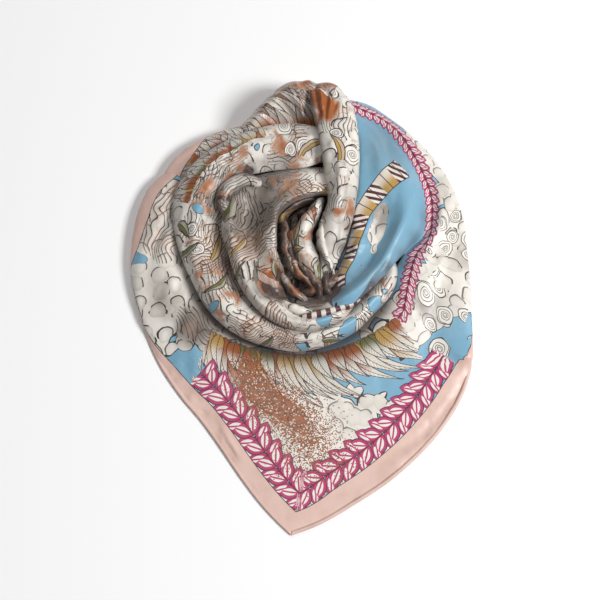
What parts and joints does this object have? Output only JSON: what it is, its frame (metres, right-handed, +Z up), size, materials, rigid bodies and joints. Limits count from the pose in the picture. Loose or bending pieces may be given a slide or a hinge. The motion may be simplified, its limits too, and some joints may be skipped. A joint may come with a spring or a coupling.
{
  "type": "silk square scarf",
  "caption": "Square silk scarf twisted into a rosette on a flat surface, one bordered corner spread to the front.",
  "frame": {"origin": "middle of the heap's footprint, on the surface it lies on", "axes": "+Z up; -Y points to the side that the spread corner faces; +X to the right of someone looking from the corner"},
  "size_m": [0.5262, 0.716, 0.0912],
  "materials": {
    "printed_silk": "printed silk twill in sky blue, ivory, rust, gold, magenta and olive, with a soft sheen",
    "border_silk": "plain blush silk twill border with a turned hem"
  },
  "bodies": {
    "root": {"spread_sheet": "printed_silk", "first_coil": "printed_silk", "second_coil": "printed_silk", "outer_coil": "printed_silk", "crown_fold": "printed_silk", "peak_fold": "printed_silk", "back_flap": "border_silk", "heart_leaf": "printed_silk", "heart_side": "printed_silk", "heart_knot": "printed_silk", "heart_roll": "printed_silk", "folded_core": "printed_silk", "hem_left": "border_silk", "hem_right": "border_silk"}
  },
  "joints": []
}
